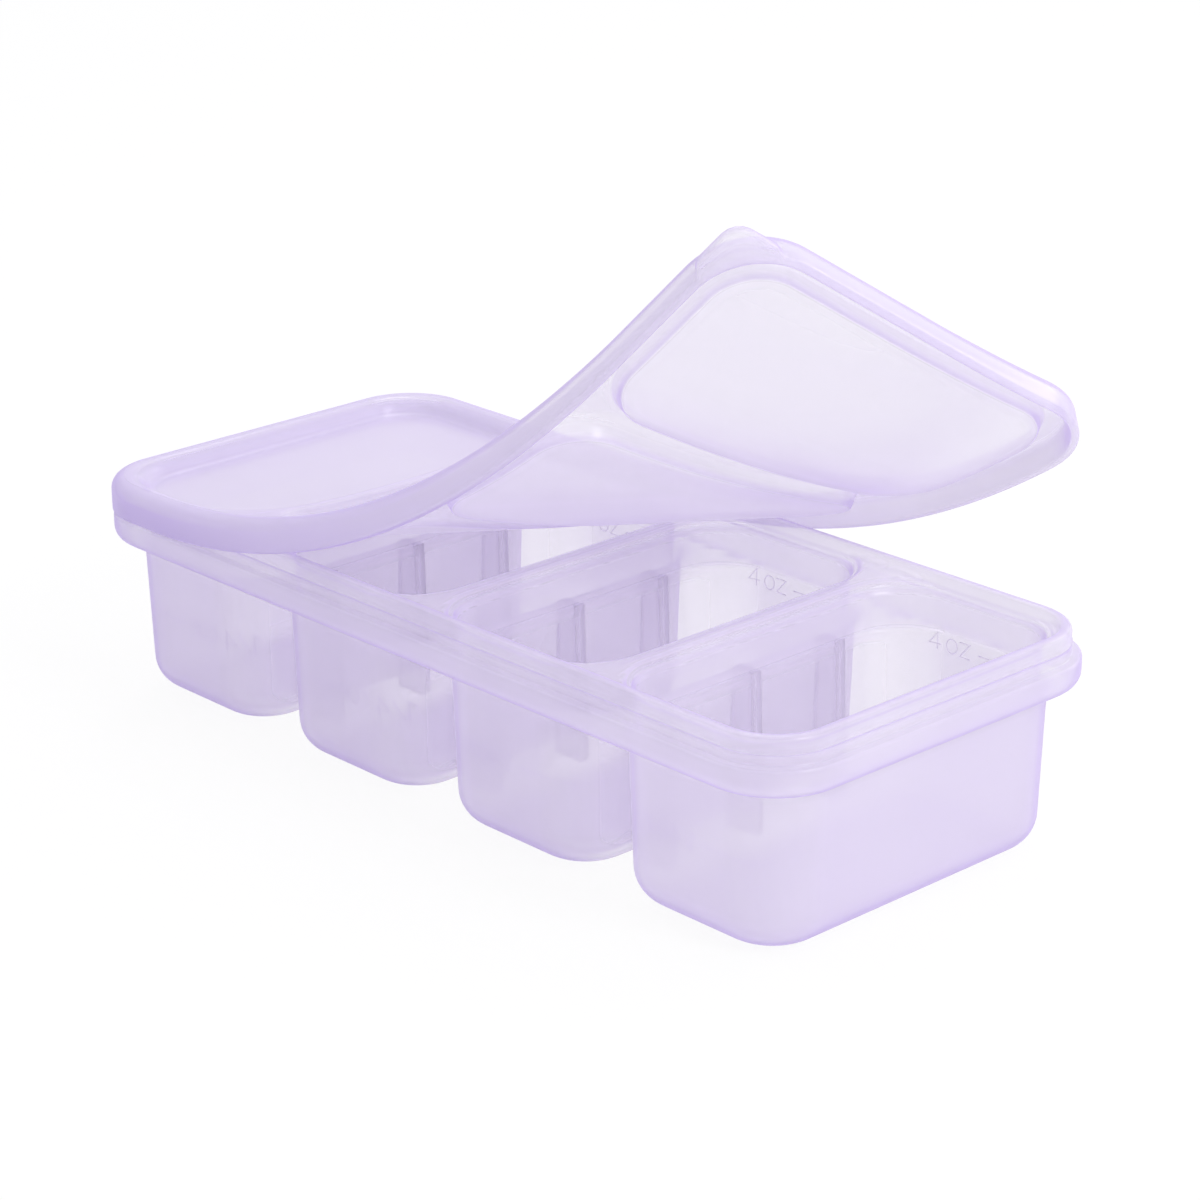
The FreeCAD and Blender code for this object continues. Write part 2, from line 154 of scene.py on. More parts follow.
def profile(stops, at):
    # smooth curve through a few stops
    xs, ys = np.array(stops, float).T
    slopes = np.gradient(ys, xs)
    at = np.clip(at, xs[0], xs[-1])
    k = np.clip(np.searchsorted(xs, at, side="right") - 1, 0, len(xs) - 2)
    h = xs[k + 1] - xs[k]
    t = (at - xs[k]) / h
    return ((2 * t**3 - 3 * t**2 + 1) * ys[k] + (t**3 - 2 * t**2 + t) * h * slopes[k]
            + (3 * t**2 - 2 * t**3) * ys[k + 1] + (t**3 - t**2) * h * slopes[k + 1])


class Cell:
    # one cell's stations, and the rings drawn from them

    def __init__(self, skin, index, stations):
        self.skin = skin
        self.base, self.out = stations
        self.centre = np.array([cellMiddle(index), 0.0])
        self.isFirst, self.isLast = index == 0, index == cell["count"] - 1

    def flat(self, radius):
        radius = np.broadcast_to(radius, (len(self.base),))
        return self.base + self.centre + self.out * radius[:, None]

    def ring(self, flat, z, heft):
        return self.skin.ring(np.c_[flat, np.broadcast_to(z, (len(self.base),))], heft)

    def run(self, previous, levels, flip=False):
        # joins one contour after another, each given as radius, height and heft
        for radius, z, heft in levels:
            ring = self.ring(self.flat(radius), z, heft)
            self.skin.join(previous, ring, flip=flip)
            previous = ring
        return previous

    def spreadTo(self, limit, start):
        # how far each station's ray runs to the limiting contour, or to the line between two cells
        low, high = np.full(len(self.base), start), np.full(len(self.base), 70.0)
        for _ in range(48):
            middle = (low + high) / 2
            inside = roundedDistance(self.flat(middle), **limit)[0] < 0
            low, high = np.where(inside, middle, low), np.where(inside, high, middle)
        self.reach, self.onLine = (low + high) / 2, np.zeros(len(self.base), bool)
        half = cell["pitch"] / 2
        with np.errstate(divide="ignore", invalid="ignore"):
            for blocked, side in ((self.isLast, 1.0), (self.isFirst, -1.0)):
                if blocked:
                    continue
                run = (side * half - self.base[:, 0]) / self.out[:, 0]
                use = (self.out[:, 0] * side > 1e-6) & (run < self.reach - 1e-3)
                self.reach, self.onLine = np.where(use, run, self.reach), self.onLine | use
        self.edge = self.flat(self.reach)
        self.edgeWay = roundedDistance(self.edge, **limit)[1]

    def joinRim(self, rings):
        # quads between the stations that reach the limiting contour; the station where the line
        # between two cells meets it belongs to it too
        for a, b in zip(rings, rings[1:]):
            for i in range(len(a)):
                j = (i + 1) % len(a)
                if not (self.onLine[i] or self.onLine[j]):
                    self.skin.faces.append((a[i], a[j], b[j], b[i]))

    def closeFloor(self, edge, radius, z, heft, flip=False, steps=9):
        # fills the flat inside a contour with rings that shrink to its middle line
        spineHalf = max(abs(self.base[:, 1]).max() - abs(self.base[:, 0]).max(), 0)
        edgeFlat = self.base + self.out * radius
        spine = np.c_[np.zeros(len(self.base)), np.clip(self.base[:, 1], -spineHalf, spineHalf)]
        previous = edge
        for k in range(1, steps + 1):
            ring = self.ring(edgeFlat + (spine - edgeFlat) * (k / steps) + self.centre, z, heft)
            self.skin.join(previous, ring, flip=flip)
            previous = ring


lavender = dict(
    thin=(0.962, 0.940, 0.986),
    thick=(0.735, 0.64, 0.92),
    clear=(0.978, 0.968, 0.996),
    haze=0.2,              # what the silicone hides at no heft
    body=0.85,             # and what heft adds to that
    through=0.55,          # share of the light that passes a hiding wall
    gloss=0.13,            # the most the skin mirrors
    glossRoughness=0.2,
    matt=0.6,
    edgeOn=0.3,            # the slant stops counting below this
    deepest=(0.3, 2.2),    # depths where the thin colour starts to turn and where it has turned
    clouds=dict(Scale=42.0, Detail=3.0, Roughness=0.55),
    cloudiness=0.10,
)


def siliconeFinish(name, look):
    material = bpy.data.materials.new(name)
    material.use_nodes = True
    tree = material.node_tree
    tree.nodes.clear()

    def node(kind, **values):
        made = tree.nodes.new(kind)
        for key, setting in values.items():
            if key in made.inputs:
                made.inputs[key].default_value = setting
            else:
                setattr(made, key, setting)
        return made

    def link(a, b):
        tree.links.new(a, b)

    def maths(operation, a, b=None):
        made = tree.nodes.new("ShaderNodeMath")
        made.operation = operation
        for socket, item in zip(made.inputs, (a, b)):
            if isinstance(item, (int, float)):
                socket.default_value = item
            elif item is not None:
                link(item, socket)
        return made.outputs[0]

    def mixed(fraction, a, b):
        made = tree.nodes.new("ShaderNodeMix")
        made.data_type = "RGBA"
        link(fraction, made.inputs["Factor"])
        for socket, item in ((made.inputs[6], a), (made.inputs[7], b)):
            if isinstance(item, tuple):
                socket.default_value = (*item, 1)
            else:
                link(item, socket)
        return made.outputs[2]

    heft = node("ShaderNodeAttribute", attribute_name="heft").outputs["Fac"]
    where = node("ShaderNodeTexCoord").outputs["Object"]
    cloud = node("ShaderNodeTexNoise", **look["clouds"])
    link(where, cloud.inputs["Vector"])
    # the way through the moulding is longer where it is thick and where it is seen edge on:
    # there a surface hides more and takes on more of the colour. The heft read here also holds
    # painted light and shade, so the veil and the colour carry it too
    facing = node("ShaderNodeLayerWeight", Blend=0.5).outputs["Facing"]
    slant = maths("MAXIMUM", maths("SUBTRACT", 1.0, facing), look["edgeOn"])
    density = maths("MULTIPLY_ADD", heft, look["body"])
    density.node.inputs[2].default_value = look["haze"]
    depth = maths("DIVIDE", density, slant)
    veil = maths("SUBTRACT", 1.0, maths("POWER", math.e, maths("MULTIPLY", depth, -1.0)))
    cloudy = maths("MULTIPLY_ADD", cloud.outputs["Fac"], look["cloudiness"])
    cloudy.node.inputs[2].default_value = -look["cloudiness"] / 2
    deep = node("ShaderNodeMapRange", **{"From Min": look["deepest"][0], "From Max": look["deepest"][1]})
    link(depth, deep.inputs["Value"])
    colour = mixed(maths("ADD", deep.outputs["Result"], cloudy), look["thin"], look["thick"])
    surface = node("ShaderNodeBsdfPrincipled", Roughness=look["matt"], **{"Specular IOR Level": 0.0})
    link(colour, surface.inputs["Base Color"])
    glow = node("ShaderNodeBsdfTranslucent")
    link(colour, glow.inputs["Color"])
    soft = node("ShaderNodeMixShader")
    soft.inputs[0].default_value = look["through"]
    link(surface.outputs[0], soft.inputs[1])
    link(glow.outputs[0], soft.inputs[2])
    clear = node("ShaderNodeBsdfTransparent", Color=(*look["clear"], 1))
    final = node("ShaderNodeMixShader")
    link(veil, final.inputs[0])
    link(clear.outputs[0], final.inputs[1])
    link(soft.outputs[0], final.inputs[2])
    # satin gloss of the skin over all of that
    sheen = node("ShaderNodeBsdfGlossy", Roughness=look["glossRoughness"])
    skinned = node("ShaderNodeMixShader")
    link(maths("MINIMUM", node("ShaderNodeFresnel", IOR=1.41).outputs[0], look["gloss"]), skinned.inputs[0])
    link(final.outputs[0], skinned.inputs[1])
    link(sheen.outputs[0], skinned.inputs[2])
    link(skinned.outputs[0], node("ShaderNodeOutputMaterial").inputs["Surface"])
    return material


traySilicone = siliconeFinish("traySilicone", lavender)
lidSilicone = siliconeFinish("lidSilicone", dict(lavender, thin=(0.948, 0.922, 0.982), through=0.5))
print("finishes made")

tray = dict(
    footRadius=13.2,       # cup corner at the foot line
    draft=0.033,
    wall=1.7,
    footRound=7.6,
    undersideZ=36.7,
    underFillet=1.0,
    mouthZ=45.05,
    bandZ=38.1,            # below this the cup wall hides less
    lip=(4.9, 48.6),       # inset and height where the collar's inner slope starts
    slope=2.0,
    topBlend=0.16,
    flare=dict(start=1.6, width=3.0, fade=1.8),   # the rib's rise towards the lip
    lipFade=0.3,
    # hefts: against the distance out from a mouth's edge, and against height down the rim's outside;
    # their steps also paint light lines on the ridges and dark lines in the grooves
    topHeftAndPaintedLines=([0, 0.25, 0.7, 1.0, 1.6, 1.85, 2.5, 2.8], [0.4, 0.65, 0.6, 0.0, 0.0, 0.5, 0.5, 0.0]),
    slopeHeft=0.15,
    slopeReach=(1.7, 0.7),   # how far from the lip it counts, and the length of its fade
    # painted shade: a dark line at the neck groove; painted highlights: light lines at the flange edge, the
    # bead and the top rounding
    rimHeftAndPaintedLines=([36.7, 39, 43, 43.3, 44.6, 45.4, 46.0, 47.5, 48.9, 49.3],
             [0.55, 0.6, 0.5, 0.1, 0.3, 0.8, 0.1, 0.25, 0.1, 0.5]),
    # painted light: one entry clears the outer walls that face a neighbouring cup, so the shaded gap reads
    # lighter
    outsideHeft=dict(under=0.0, edge=0.2, fillet=0.25, wall=0.48, foot=0.15, neighbour=0.55, floor=0.37),
    # painted light: the negative side entry lightens the shaded inner walls that face along the row
    insideHeft=dict(mouth=0.1, band=0.25, wall=0.03, side=-0.06, foot=0.05, underFoot=0.15, floor=0.2),
)
footAngles = (82, 74, 66, 58, 50, 42, 34, 26, 18, 10, 0)
# inset from the rim's outer edge and height, from the collar's lip over the top and down the outside
rimProfile = [(4.9, 48.6), (4.75, 48.95), (4.45, 49.2), (4.1, 49.3), (3.4, 49.3), (2.95, 49.2),
              (2.55, 48.95), (2.3, 48.5), (2.2, 48.0), (2.22, 47.0), (2.2, 46.6), (2.08, 46.2),
              (2.05, 45.95), (2.15, 45.65), (2.35, 45.45), (2.38, 45.3), (2.28, 45.0), (2.22, 44.6),
              (2.2, 43.75), (2.1, 43.45), (1.9, 43.32), (1.7, 43.3), (0.8, 43.3), (0.5, 43.24),
              (0.23, 43.05), (0.06, 42.8), (0.0, 42.5), (0.0, 41.5), (0.0, 40.6), (0.0, 39.8)]
rimProfile += [(3.1 - 3.1 * math.cos(math.radians(a)), 39.8 - 3.1 * math.sin(math.radians(a)))
               for a in range(15, 91, 15)]
# height against distance out from a mouth's edge
mouthProfile = [(0, 45.05), (0.18, 45.36), (0.45, 45.74), (0.6, 45.9), (0.85, 46.5), (1.0, 46.78),
                (1.2, 46.93), (1.5, 47.0), (1.75, 47.12), (2.1, 47.45), (2.4, 47.6), (4.0, 47.65)]
mouthSteps = [0, 0.1, 0.2, 0.32, 0.45, 0.55, 0.65, 0.75, 0.87, 1.0, 1.15, 1.32, 1.5, 1.68, 1.86]


def insetContour(d):
    return dict(halfX=outline["halfX"] - d, halfY=outline["halfY"] - d, corner=outline["corner"] - d)


def trayTop(fromMouth, fromLip):
    rib = profile(mouthProfile, fromMouth)
    start, width, fade = tray["flare"].values()
    flare = np.clip((fromMouth - start) / width, 0, 1) ** 2 * np.exp(-fromLip / fade)
    collar = tray["lip"][1] - tray["slope"] * fromLip
    a, b, k = rib + flare, collar, tray["topBlend"]
    rounding = k * np.log1p(np.exp(-np.abs(a - b) / k)) * np.clip(fromLip / tray["lipFade"], 0, 1)
    return np.minimum(np.maximum(a, b) + rounding, tray["lip"][1])


def cupOuter(z):
    return tray["footRadius"] + tray["draft"] * z


def cupInner(z):
    return tray["footRadius"] - tray["wall"] + tray["draft"] * z


mouthRadius = cupInner(tray["mouthZ"])


def cellTop(one, lipContour):
    # from the mouth's edge out to the collar's lip, or to the middle of the divider
    spread = one.reach - mouthRadius
    previous = None
    for k in range(len(mouthSteps) + 7):
        if k < len(mouthSteps):
            away = np.minimum(mouthSteps[k], spread)
        else:
            away = mouthSteps[-1] + (spread - mouthSteps[-1]) * (k - len(mouthSteps) + 1) / 7
        flat = one.flat(mouthRadius + away)
        fromLip = -roundedDistance(flat, **lipContour)[0]
        onSlope = np.clip((tray["slopeReach"][0] - fromLip) / tray["slopeReach"][1], 0, 1)
        # painted light and shade: low hefts draw light lines along the rib tops, high ones dark lines in the
        # grooves
        heft = np.interp(away, *tray["topHeftAndPaintedLines"]) * (1 - onSlope) + tray["slopeHeft"] * onSlope
        ring = one.ring(flat, trayTop(away, np.maximum(fromLip, 0)), heft)
        if previous is not None:
            one.skin.join(previous, ring)
        previous = ring


def rimOutside(one):
    # painted light and shade down the rim's outside, taken from the heights in the table
    one.joinRim([one.ring(one.edge + one.edgeWay * (tray["lip"][0] - d), z, np.interp(z, *tray["rimHeftAndPaintedLines"]))
                 for d, z in rimProfile])


def cupOutside(one):
    # the rim's underside, in to the cup, and the cup's wall down to its foot
    z, fillet = tray["undersideZ"], tray["underFillet"]
    heft = tray["outsideHeft"]
    toLast = tray["lip"][0] - rimProfile[-1][0]
    last = np.where(one.onLine[:, None], one.edge, one.edge + one.edgeWay * toLast)
    under = one.ring(last, z, heft["under"])
    topRadius = cupOuter(z) + fillet
    middle = one.ring((last + one.flat(topRadius)) / 2, z, heft["under"])
    one.skin.join(under, middle)
    levels = [(topRadius, z, heft["edge"])]
    for a in (30, 60, 90):
        s, c = math.sin(math.radians(a)), math.cos(math.radians(a))
        low = z - fillet + fillet * c
        levels.append((cupOuter(low) + fillet * (1 - s), low, heft["fillet"]))
    previous = one.run(middle, levels)
    r, lean = tray["footRound"], math.sqrt(1 + tray["draft"]**2)
    footCentre = cupOuter(r) - r * lean
    levels = [(cupOuter(z), z) for z in (33, 29, 25, 21, 17, 13, 10, 7.9)]
    levels += [(footCentre + r * math.sin(math.radians(a)), r - r * math.cos(math.radians(a)))
               for a in footAngles]
    # painted light: the sides turned to a neighbouring cup are made the clearest, so the shaded gap between
    # cups looks lit
    toRight, toLeft = one.out[:, 0] * (not one.isLast), -one.out[:, 0] * (not one.isFirst)
    gapLighteningShare = np.where(one.out[:, 0] > 0, toRight, toLeft) ** 2
    previous = one.run(previous, [(radius, z, heft["wall"] + heft["foot"] * max(1 - z / 8, 0)
                                   - heft["neighbour"] * gapLighteningShare) for radius, z in levels])
    one.closeFloor(previous, levels[-1][0], 0.0, heft["floor"])


def cupInside(one):
    r, floorZ = tray["footRound"] - tray["wall"], tray["wall"]
    footCentre = cupInner(floorZ + r) - r * math.sqrt(1 + tray["draft"]**2)
    heft, bandZ = tray["insideHeft"], tray["bandZ"]
    # painted light: the inner walls that face along the row hide less, so these shaded walls look lighter
    side = heft["side"] * one.out[:, 0] ** 2
    levels = [(cupInner(z), z, heft["band"]) for z in (44.7, 43.5, 41.5, 39.6, bandZ + 0.15)]
    levels += [(cupInner(z), z, heft["wall"] + side)
               for z in (bandZ - 0.15, 35, 31, 27, 23, 19, 15, 11, 7.9)]
    levels += [(footCentre + r * math.sin(math.radians(a)), floorZ + r - r * math.cos(math.radians(a)),
                heft["foot"] + heft["underFoot"] * (1 - a / 90) + side) for a in footAngles]
    mouth = one.ring(one.flat(mouthRadius), tray["mouthZ"], heft["mouth"])
    one.closeFloor(one.run(mouth, levels, flip=True), levels[-1][0], floorZ, heft["floor"], flip=True)


def makeTray():
    skin = Skin()
    stations = stationSet(cell["coreX"], cell["coreY"], junctionReach)
    lipContour = insetContour(tray["lip"][0])
    for index in range(cell["count"]):
        one = Cell(skin, index, stations)
        one.spreadTo(lipContour, mouthRadius)
        cellTop(one, lipContour)
        rimOutside(one)
        cupOutside(one)
        cupInside(one)
    return skin.mesh("trayMoulding")


place("trayMoulding", makeTray(), "tray", "tray_silicone", traySilicone,
      "rim", "divider_1", "divider_2", "divider_3", "cup_1", "cup_2", "cup_3", "cup_4")
print("tray moulding made")

# upright webs between the cups
web = dict(thickness=2.0, spacing=25.5, footHalf=3.7, headHalf=2.5, height=36.7, bite=0.25, flare=0.55,
           heft=0.08)


def makeWebs(number):
    skin = Skin()
    middle = (number - 2) * cell["pitch"]
    # one quarter of the plan, as a share of the half width and a half thickness
    shares = ((1.0, 1.0), (0.93, 0.55), (0.85, 0.22), (0.74, 0.05), (0.6, 0.0), (0.0, 0.0))
    shape = [(share, web["thickness"] / 2 + web["flare"] * extra) for share, extra in shares]
    plan = shape + [(-s, t) for s, t in shape[-2::-1]]
    plan += [(-s, -t) for s, t in shape] + [(s, -t) for s, t in shape[-2::-1]]
    for y in (-web["spacing"], 0, web["spacing"]):
        rings = []
        for z in np.linspace(0, web["height"], 9):
            half = web["footHalf"] + (web["headHalf"] - web["footHalf"]) * z / web["height"] + web["bite"]
            rings.append(skin.ring([(middle + s * half, y + t, z) for s, t in plan], web["heft"]))
        for a, b in zip(rings, rings[1:]):
            skin.join(a, b)
        skin.faces.append(tuple(rings[0][::-1]))
        skin.faces.append(tuple(rings[-1]))
    return skin.mesh(f"webs{number}", weld=0.0001)


for number in (1, 2, 3):
    place(f"webs{number}", makeWebs(number), "tray", "tray_silicone", traySilicone, f"webs_{number}")
print("webs made")

# raised measuring marks on the cells' inner walls: strokes of each sign on a grid one unit high
signs = {
    "1": (0.45, [[(0.05, 0.76), (0.3, 1.0), (0.3, 0.0)]]),
    "/": (0.62, [[(0.0, 0.0), (0.5, 1.0)]]),
    "4": (0.95, [[(0.6, 0.0), (0.6, 1.0), (0.0, 0.32), (0.84, 0.32)]]),
    "Z": (0.9, [[(0.0, 1.0), (0.78, 1.0), (0.0, 0.0), (0.8, 0.0)]]),
    "U": (1.0, [[(0.0, 1.0), (0.0, 0.35), (0.1, 0.1), (0.38, 0.0), (0.66, 0.1), (0.76, 0.35), (0.76, 1.0)]]),
    "P": (0.85, [[(0.0, 0.0), (0.0, 1.0), (0.45, 1.0), (0.68, 0.9), (0.74, 0.72), (0.66, 0.54), (0.42, 0.45),
                  (0.0, 0.45)]]),
    "C": (1.0, [[(0.42 + 0.42 * math.cos(math.radians(a)), 0.5 + 0.5 * math.sin(math.radians(a)))
                 for a in range(50, 320, 15)]]),
    "O": (1.05, [[(0.42 + 0.42 * math.cos(math.radians(a)), 0.5 + 0.5 * math.sin(math.radians(a)))
                  for a in range(0, 361, 15)]]),
    "-": (1.0, [[(0.0, 0.5), (1.0, 0.5)]]),
}
# text, where it starts and ends along the row from the cell's middle, middle height, letter height
nearMarksA = [("1/4", 19.6, 10.5, 19.5, 4.3), ("CUP", 8.0, -1.5, 19.5, 3.4), ("-", -2.9, -15.0, 19.5, 1.0)]
nearMarksB = [("-", 17.8, 2.9, 19.5, 1.0), ("1/4", 0.9, -6.6, 19.5, 4.3), ("CUP", -7.0, -14.0, 19.5, 3.4)]
farMarks = [("4", -13.9, -11.1, 35.6, 3.8), ("OZ", -9.5, -2.9, 35.2, 3.2), ("-", -0.4, 2.5, 35.2, 1.0)]
markStroke = dict(radius=0.14, raised=0.07, nearHeft=0.7, farHeft=0.1)


def wallPoint(x, z, side):
    # a point on a cell's inner wall and the way that looks into the cell there
    radius = cupInner(z)
    over = math.copysign(max(abs(x) - cell["coreX"], 0), x)
    deep = math.sqrt(radius**2 - over**2)
    point = np.array([x, side * (cell["coreY"] + deep), z])
    return point, np.array([-over / radius, -side * deep / radius, 0])


def addStroke(skin, line, centreX, side, heft):
    points = []
    for (x0, z0), (x1, z1) in zip(line, line[1:]):
        pieces = max(1, round(math.hypot(x1 - x0, z1 - z0) / 1.2))
        points += [(x0 + (x1 - x0) * k / pieces, z0 + (z1 - z0) * k / pieces) for k in range(pieces)]
    points.append(line[-1])
    placed = [wallPoint(x, z, side) for x, z in points]
    middle = np.array([p + n * markStroke["raised"] for p, n in placed]) + np.array([centreX, 0, 0])
    ways = np.diff(middle, axis=0)
    ways /= np.linalg.norm(ways, axis=1)[:, None]
    closed = np.linalg.norm(middle[0] - middle[-1]) < 0.01
    before = np.vstack([ways[-1] if closed else ways[0], ways])
    after = np.vstack([ways, ways[0] if closed else ways[-1]])
    rings = []
    for p, (_, n), a, b in zip(middle, placed, before, after):
        along = (a + b) / max(np.linalg.norm(a + b), 1e-6)
        across = np.cross(along, n) / max(np.dot(a, along), 0.5)
        rings.append(skin.ring([p + markStroke["radius"] * (across * math.cos(t) + n * math.sin(t))
                                for t in np.linspace(0, 2 * math.pi, 7)[:-1]], heft))
    for a, b in zip(rings, rings[1:]):
        skin.join(a, b)
    if not closed:
        skin.faces.append(tuple(rings[0][::-1]))
        skin.faces.append(tuple(rings[-1]))


def addMark(skin, mark, centreX, side, heft):
    text, start, end, level, height = mark
    lastWidth = max(x for line in signs[text[-1]][1] for x, _ in line)
    scale = (end - start) / (sum(signs[letter][0] for letter in text[:-1]) + lastWidth)
    at = 0.0
    for letter in text:
        for line in signs[letter][1]:
            placed = [(start + scale * (at + x), level + (z - 0.5) * height) for x, z in line]
            addStroke(skin, placed, centreX, side, heft)
        at += signs[letter][0]


def makeMarks():
    skin = Skin()
    for index in range(cell["count"]):
        for mark in nearMarksA if index < 2 else nearMarksB:
            addMark(skin, mark, cellMiddle(index), -1, markStroke["nearHeft"])
        for mark in farMarks:
            addMark(skin, mark, cellMiddle(index), 1, markStroke["farHeft"])
    return skin.mesh("measuringMarks", weld=0.0001)


place("measuringMarks", makeMarks(), "tray", "tray_silicone", traySilicone)
print("measuring marks made")

lid = dict(
    halfX=111.2, halfY=50.3, corner=16.9,
    topCoreX=10.5, topCoreY=30.8, topFloorRadius=10.5, topFloorZ=48.2,
    padCoreX=11.3, padCoreY=31.4, padFlatRadius=10.95, padZ=46.5,
    topLip=3.0, roofLip=2.5,
    # hefts against the distance out from a flat, and along the row of cells; those along the row paint
    # shade, and those out from a flat paint light and dark lines
    floorHeft=0.1,
    # painted highlight: the recess side just inside the ridge is kept clear and light
    recessHeftAndHighlight=([0, 2, 4, 5.4], [0.05, 0.2, 0.0, 0.2]),
    # painted shade: a dark line where the pad's floor turns into its side
    padSideHeftAndShadeLine=([0, 0.4, 0.75, 1.0, 1.5, 1.9, 2.3, 3.0], [0.2, 0.1, 1.1, 1.1, 0.3, 0.25, 0.3, 0.0]),
    # painted shade: the pad floors turn darker in a band about x 57 mm along the row
    padFloorPaintedShade=([40, 57, 72, 100], [0.1, 0.45, 0.15, 0.05]),
    # painted shade: the skirt is darker towards the seated left end and lighter at the lifted right end
    skirtPaintedShade=([-111, -20, 60, 111], [1.3, 0.9, 0.3, 0.2]),
    tabCentre=(103.9, -45.6), tabHalf=(7.3, 7.0), tabCorner=4.1, tabBlend=0.3,
    tabStandOut=1.2,   # where it stands out this far the tab's own hefts count in full
)
# height against distance out from the flat floor of a recess, on top
recessProfile = [(0, 48.2), (0.7, 48.27), (1.4, 48.55), (2.0, 49.05), (2.7, 49.85), (3.4, 50.62), (4.1, 51.2),
                 (4.8, 51.5), (5.4, 51.6), (9.0, 51.6)]
recessSteps = [0, 0.3, 0.6, 0.95, 1.3, 1.65, 2.0, 2.35, 2.7, 3.05, 3.4, 3.75, 4.1, 4.45, 4.8, 5.1, 5.4]
# height against distance out from the flat of a pad, underneath
padProfile = [(0, 46.5), (0.4, 46.5), (0.62, 46.55), (0.82, 46.75), (0.98, 47.05), (1.3, 47.7), (1.6, 48.3),
              (1.9, 48.95), (2.1, 49.34), (2.3, 49.6), (2.55, 49.76), (2.9, 49.8), (9.0, 49.8)]
padSteps = [0, 0.4, 0.52, 0.63, 0.74, 0.85, 0.98, 1.15, 1.3, 1.6, 1.9, 2.02, 2.14, 2.3, 2.45, 2.65, 2.9]
# inset from the lid's outline, height, share of the lifting tab's reach, heft; on the skirt the
# heft only counts where the tab stands out
lidEdge = [(3.0, 51.6, 0, 0.3)]
lidEdge += [(3 - 3 * math.sin(math.radians(a)), 48.6 + 3 * math.cos(math.radians(a)), 0, 0.3 + a / 140)
            for a in (12, 24, 36, 48, 60, 72, 84)]
lidEdge += [(0.0, 48.2, 0, 0.5), (0.0, 47.0, 0, 0.5), (0.0, 46.1, 0, 0.5), (0.0, 45.85, 0.02, 0.5),
            (0.0, 45.75, 0.14, 0.2), (0.0, 45.7, 0.5, 0.15), (0.0, 45.62, 0.9, 0.1), (0.0, 45.4, 0.98, 0.45),
            (0.0, 45.1, 1.0, 0.6), (0.0, 44.1, 1.0, 0.6), (0.1, 43.8, 0.98, 0.4), (0.35, 43.62, 0.93, 0.05),
            (0.8, 43.6, 0.5, 0.05), (1.4, 43.6, 0.05, 0.6), (1.7, 43.65, 0, 0.6), (1.88, 43.85, 0, 0.6),
            (1.9, 44.3, 0, 0.6), (1.9, 45.6, 0, 0.6), (1.9, 47.0, 0, 0.5), (1.9, 48.4, 0, 0.4),
            (1.9, 49.2, 0, 0.3), (2.0, 49.55, 0, 0.15), (2.2, 49.74, 0, 0.05), (2.5, 49.8, 0, 0.0)]
# the lid curls along a line at this angle off its long side: millimetres along that line, degrees a fold
curl = dict(angle=-36.3, start=-40.68, turn=10.86, pitch=21.36, folds=6, neutralZ=46.5)


def lidContour(d):
    return dict(halfX=lid["halfX"] - d, halfY=lid["halfY"] - d, corner=lid["corner"] - d)


def tabBulge(edge, way):
    # how far the lifting tab, a rounded tongue at the near right corner, pushes the outline out
    shape = dict(halfX=lid["tabHalf"][0], halfY=lid["tabHalf"][1], corner=lid["tabCorner"])
    start = edge - np.array(lid["tabCentre"])
    distance = roundedDistance(start, **shape)[0]
    low, high = np.zeros(len(edge)), np.full(len(edge), 12.0)
    for _ in range(24):
        middle = (low + high) / 2
        inside = roundedDistance(start + way * middle[:, None], **shape)[0] < 0
        low, high = np.where(inside, middle, low), np.where(inside, high, middle)
    reach = np.where(distance < 0, low, -distance)
    k = lid["tabBlend"]
    return np.where(reach > -6 * k, k * np.log1p(np.exp(np.clip(reach / k, -12, 60))), 0.0)


def lidTop(one):
    # the recess over a cell and the ridge round it
    radius, last = lid["topFloorRadius"], recessSteps[-1]
    spread = one.reach - radius
    previous = None
    for k in range(len(recessSteps) + 3):
        if k < len(recessSteps):
            away = np.minimum(recessSteps[k], spread)
        else:
            away = last + (spread - last) * (k - len(recessSteps) + 1) / 3
        # a painted highlight on the recess side just inside the ridge
        ring = one.ring(one.flat(radius + away), profile(recessProfile, away),
                        np.interp(away, *lid["recessHeftAndHighlight"]))
        if previous is None:
            one.closeFloor(ring, radius, lid["topFloorZ"], lid["floorHeft"], steps=13)
        else:
            one.skin.join(previous, ring, flip=True)
        previous = ring


def lidSkirt(one):
    # from the lip over the edge, down the skirt with its tab, and up again inside
    bulge = tabBulge(one.edge + one.edgeWay * lid["topLip"], one.edgeWay)
    # painted shade along the skirt, darkest at the seated left end
    skirtShade = np.interp(one.edge[:, 0], *lid["skirtPaintedShade"])
    rings = []
    for d, z, share, heft in lidEdge:
        flat = one.edge + one.edgeWay * (lid["topLip"] - d + bulge * share)[:, None]
        onSkirt = z < 48.5 and d < 1.5
        onTab = np.clip(bulge / lid["tabStandOut"], 0, 1) if onSkirt else 1.0
        rings.append(one.ring(flat, z, skirtShade * (1 - onTab) + heft * onTab))
    one.joinRim(rings)


